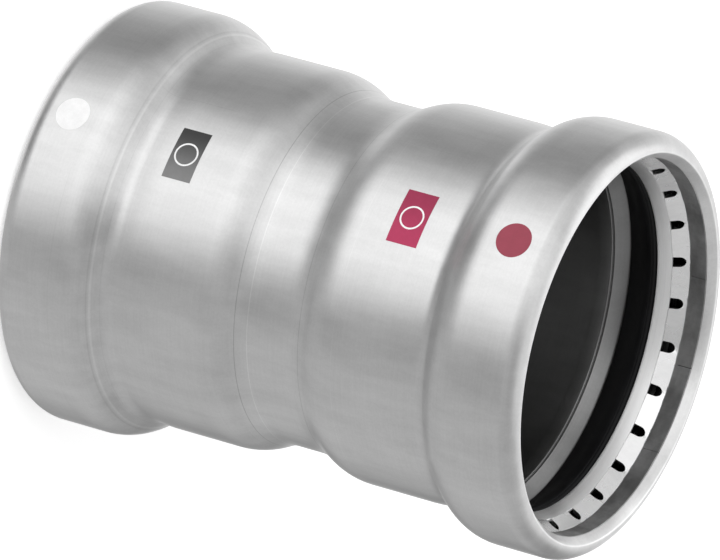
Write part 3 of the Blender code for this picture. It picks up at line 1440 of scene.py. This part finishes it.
@dataclass(frozen=True)
class Reflector:
    """A turned screen, far round the coupling, that shows only in reflections.

    Each of its levels goes with the angle round the sleeve, from the side that faces the camera, at which
    it shows.
    """

    name: str
    profile: tuple[Corner, ...]
    levels: Levels
    facing: float
    brightest: float = 1.8
    segments: int = 96

    def finish(self) -> bpy.types.Material:
        """Make the screen's glow, which changes with the azimuth alone.

        Returns:
            The finished material.
        """
        graph = Graph(self.name)
        to_front = (0.0, 0.0, math.radians(90.0 - self.facing))
        turned = graph.add("Mapping", {"Vector": graph.place(), "Rotation": to_front})
        round_axis = graph.add("TexGradient", {"Vector": turned.outputs[0]}, gradient_type="RADIAL")
        bands = graph.add("ValToRGB", {"Fac": round_axis.outputs["Fac"]})
        stops = bands.color_ramp.elements
        while len(stops) < len(self.levels):
            stops.new(1.0)
        for stop, (shown_at, level) in zip(stops, self.levels):
            stop.position = 0.5 + shown_at / 180.0
            stop.color = (level / self.brightest,) * 3 + (1.0,)
        glow = graph.add("Emission", {"Color": bands.outputs["Color"], "Strength": self.brightest})
        graph.links.new(glow.outputs[0], graph.nodes["Material Output"].inputs["Surface"])
        return graph.material

    def build(self) -> bpy.types.Object:
        """Turn the screen and hide it from all but reflections.

        Returns:
            The screen.
        """
        piece = Section(self.name, list(self.profile), closed=False).turn(self.segments)
        settle(piece, self.finish())
        piece.visible_camera = False
        piece.visible_diffuse = False
        piece.visible_shadow = False
        piece.visible_transmission = False
        piece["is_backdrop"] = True
        return piece


@dataclass(frozen=True)
class Softbox:
    """A square area lamp that faces the coupling and doesn't show in its reflections."""

    name: str
    azimuth: float
    elevation: float
    distance: float
    side: float
    power: float

    def build(self) -> bpy.types.Object:
        """Hang the lamp.

        Returns:
            The lamp's object.
        """
        lamp = bpy.data.lights.new(self.name, "AREA")
        lamp.shape = "SQUARE"
        lamp.size = self.side
        lamp.energy = self.power
        hung = bpy.data.objects.new(self.name, lamp)
        away = bearing(self.azimuth, self.elevation)
        hung.location = away * self.distance + CENTRE
        hung.rotation_euler = away.to_track_quat("Z", "Y").to_euler()
        hung.visible_glossy = False
        bpy.context.scene.collection.objects.link(hung)
        return hung


@dataclass
class Studio:
    """The plain white room: floor, backdrop, softboxes, and the screens that the steel reflects."""

    facing: float
    ambient: float = 0.55
    floor_half: float = 2.5
    floor_albedo: float = 0.8
    floor_roughness: float = 0.9
    floor_glow: float = 0.42
    shadow_drop: float = 0.2 * MM
    shadow_hole: float = 1 * MM
    shadow_level: float = 0.3
    screen_radius: float = 1.2
    screen_foot: float = -1.1
    screen_hole: float = 0.02
    screen_break: float = 0.15
    screen_shoulder: float = 0.77
    screen_top: float = 1.5
    screen_top_share: float = 0.6
    lamps: tuple[Softbox, ...] = (
        Softbox("key_softbox", -28.0, 36.0, 0.95, 1.0, 6.5),
        Softbox("side_softbox", 95.0, 40.0, 1.1, 0.9, 3.0),
        Softbox("rear_softbox", 195.0, 35.0, 1.1, 0.9, 2.5),
    )
    low_levels: Levels = (
        (-90.0, 1.2), (-76.0, 1.05), (-66.0, 0.72), (-58.0, 0.5), (-50.0, 0.37), (-44.0, 0.38),
        (-38.0, 0.58), (-31.0, 1.15), (-24.0, 1.58), (-6.0, 1.6), (1.0, 1.3), (7.0, 0.78),
        (13.0, 0.48), (19.0, 0.5), (26.0, 0.66), (60.0, 0.67), (70.0, 0.5), (76.0, 0.3), (81.0, 0.4),
        (85.0, 1.3), (90.0, 1.5),
    )
    high_levels: Levels = (
        (-90.0, 1.12), (-76.0, 1.05), (-66.0, 0.7), (-54.0, 0.58), (-47.0, 0.58), (-41.0, 0.66),
        (-33.0, 0.85), (-26.0, 1.1), (-20.0, 1.2), (-8.0, 1.2), (0.0, 0.8), (5.0, 0.6), (56.0, 0.6),
        (64.0, 0.42), (77.0, 0.36), (83.0, 0.85), (90.0, 1.12),
    )
    top_levels: Levels = (
        (-90.0, 1.6), (-60.0, 1.6), (-51.0, 1.1), (-44.0, 0.8), (-36.0, 0.8), (-26.0, 1.15),
        (-8.0, 1.2), (0.0, 0.7), (5.0, 0.4), (14.0, 0.4), (30.0, 0.55), (62.0, 0.62), (72.0, 0.95),
        (90.0, 1.12),
    )
    deep_levels: Levels = (
        (-90.0, 1.3), (-70.0, 1.25), (-62.0, 0.95), (-54.0, 0.7), (-46.0, 0.4), (-36.0, 0.22),
        (-24.0, 0.22), (-10.0, 0.38), (2.0, 0.52), (12.0, 0.58), (30.0, 0.62), (90.0, 0.64),
    )

    def screens(self) -> list[Reflector]:
        """Place the screens: the floor's shade under the bore, and four far below, beside and above.

        Returns:
            The screens, from the floor up.
        """
        shadow = (Corner(self.shadow_hole, -self.shadow_drop), Corner(RING_RADIUS, -self.shadow_drop))
        even = ((-90.0, self.shadow_level), (90.0, self.shadow_level))
        centre = Corner(self.screen_hole, self.screen_foot)
        foot = Corner(self.screen_radius, self.screen_foot)
        middle = Corner(self.screen_radius, self.screen_break)
        shoulder = Corner(self.screen_radius, self.screen_shoulder)
        top = Corner(self.screen_top_share * self.screen_radius, self.screen_top)
        return [
            Reflector("bore_shadow", shadow, even, self.facing),
            Reflector("deep_screen", (centre, foot), self.deep_levels, self.facing),
            Reflector("low_screen", (foot, middle), self.low_levels, self.facing),
            Reflector("high_screen", (middle, shoulder), self.high_levels, self.facing),
            Reflector("top_screen", (shoulder, top), self.top_levels, self.facing),
        ]

    def seen(self, nodes: bpy.types.Nodes, links: bpy.types.NodeLinks) -> Signal:
        """Tell the rays that see the backdrop as it is from those that it only lights.

        Args:
            nodes: The nodes of the material or of the world.
            links: Their links.

        Returns:
            1 for camera, glossy and transmission rays, and 0 for others.
        """
        path = nodes.new("ShaderNodeLightPath")
        total = path.outputs["Is Camera Ray"]
        for other in ("Is Glossy Ray", "Is Transmission Ray"):
            most = nodes.new("ShaderNodeMath")
            most.operation = "MAXIMUM"
            links.new(total, most.inputs[0])
            links.new(path.outputs[other], most.inputs[1])
            total = most.outputs[0]
        return total

    def build_world(self) -> None:
        """Make the backdrop white where it is seen, and a soft ambient light elsewhere."""
        world = bpy.data.worlds.new("white_room")
        world.use_nodes = True
        nodes, links = world.node_tree.nodes, world.node_tree.links
        light = nodes["Background"]
        light.inputs["Color"].default_value = WHITE
        light.inputs["Strength"].default_value = self.ambient
        white = nodes.new("ShaderNodeBackground")
        white.inputs["Color"].default_value = WHITE
        mix = nodes.new("ShaderNodeMixShader")
        links.new(self.seen(nodes, links), mix.inputs[0])
        links.new(light.outputs[0], mix.inputs[1])
        links.new(white.outputs[0], mix.inputs[2])
        links.new(mix.outputs[0], nodes["World Output"].inputs["Surface"])
        bpy.context.scene.world = world

    def build_floor(self) -> bpy.types.Object:
        """Lay the white floor, which keeps the coupling's shadow.

        Returns:
            The floor.
        """
        to_object_mode()
        bpy.ops.mesh.primitive_plane_add(size=2 * self.floor_half, location=(0.0, 0.0, CAD_BOX[0].z))
        floor = bpy.context.object
        floor.name = "floor"
        graph = Graph("white_floor")
        seen = self.seen(graph.nodes, graph.links)
        floor.data.materials.append(graph.dress({
            "Base Color": (self.floor_albedo,) * 3 + (1.0,),
            "Roughness": self.floor_roughness,
            "Specular IOR Level": 0.0,
            "Emission Color": WHITE,
            "Emission Strength": graph.math("MULTIPLY", seen, self.floor_glow),
        }))
        floor.visible_glossy = False
        floor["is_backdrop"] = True
        return floor

    def build(self) -> None:
        """Set up the room."""
        self.build_world()
        self.build_floor()
        for thing in (*self.lamps, *self.screens()):
            thing.build()


@dataclass(frozen=True)
class View:
    """The photograph's view: from the front and above, rolled so that +Z runs to the right."""

    azimuth: float = 21.0
    elevation: float = 26.46
    roll: float = 105.51
    distance: float = 2.4972
    lens: float = 499.4
    shift_right: float = -0.12 * MM
    shift_down: float = 0.61 * MM
    clip_end: float = 50.0

    def build(self) -> bpy.types.Object:
        """Make the camera and aim it at the coupling's middle.

        Returns:
            The camera's object.
        """
        data = bpy.data.cameras.new("camera")
        data.lens = self.lens
        data.clip_end = self.clip_end
        camera = bpy.data.objects.new("camera", data)
        bpy.context.scene.collection.objects.link(camera)
        away = bearing(self.azimuth, self.elevation)
        level = away.to_track_quat("Z", "Y").to_matrix()
        turned = level @ Matrix.Rotation(math.radians(self.roll), 3, "Z")
        right, up = turned.col[0], turned.col[1]
        place = CENTRE + away * self.distance + right * self.shift_right - up * self.shift_down
        camera.matrix_world = Matrix.Translation(place) @ turned.to_4x4()
        bpy.context.scene.camera = camera
        return camera


def printed_marks() -> list[PrintedMark]:
    """Lay out the dots and the two labels, which tell the coupling's use by colour alone.

    Returns:
        The marks. A label comes before the ring that is printed on it.
    """
    white = Ink("white_ink", (0.9, 0.9, 0.9), lustre=0.0)
    red = Ink("red_ink", (0.28, 0.043, 0.07), lustre=0.3)
    grey = Ink("grey_ink", (0.12, 0.12, 0.12), lustre=0.5, fade=0.68)
    crimson = Ink("crimson_ink", (0.35, 0.03, 0.085), lustre=0.45, fade=0.15)
    fine = Ink("white_line_ink", (0.85, 0.85, 0.85), lustre=0.0)
    grey_at, crimson_at = (-32.75 * MM, -0.3), (31.95 * MM, 0.1)
    ring_width, ring_lift = 6.4 * MM, 0.06 * MM
    return [
        PrintedMark("white_dot", Outline.DISC, white, -63.7 * MM, -0.6, 9.0 * MM),
        PrintedMark("red_dot", Outline.DISC, red, 62.9 * MM, 1.0, 9.2 * MM),
        PrintedMark("grey_label", Outline.OBLONG, grey, *grey_at, 14.0 * MM, 8.1 * MM),
        PrintedMark("crimson_label", Outline.OBLONG, crimson, *crimson_at, 14.6 * MM, 8.5 * MM),
        PrintedMark("grey_label_ring", Outline.RING, fine, *grey_at, ring_width, lift=ring_lift),
        PrintedMark("crimson_label_ring", Outline.RING, fine, *crimson_at, ring_width, lift=ring_lift),
    ]


def report_piece(piece: bpy.types.Object) -> None:
    """Log a piece's name and its number of triangles."""
    triangles = sum(len(face.vertices) - 2 for face in piece.data.polygons)
    LOG.info("%s: %d triangles", piece.name, triangles)


def build_pieces() -> Iterator[bpy.types.Object]:
    """Build the coupling's pieces one after the other.

    Returns:
        Each piece as it is finished.
    """
    sleeve = Sleeve().build()
    yield sleeve
    rings = [
        GripRing(SpringSteel().build()),
        SeparatorRing(TurnedRingSteel().build()),
        SealRing(SealRubber().build()),
    ]
    for socket in Socket:
        for ring in rings:
            yield ring.build(socket)
    for mark in printed_marks():
        yield mark.build(sleeve)


def write_sizes() -> None:
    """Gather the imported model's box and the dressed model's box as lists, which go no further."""
    boxes = {"cad": CAD_BOX, "visual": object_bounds()}
    lists = {name: [list(low), list(high)] for name, (low, high) in boxes.items()}


def main() -> None:
    """Build the camera, the studio and the coupling's pieces."""
    logging.basicConfig(level=logging.INFO, format="%(name)s: %(message)s")
    bpy.context.scene.view_settings.view_transform = "Standard"
    view = View()
    view.build()
    Studio(view.azimuth).build()
    for piece in build_pieces():
        report_piece(piece)
    write_sizes()


if __name__ == "__main__":
    main()
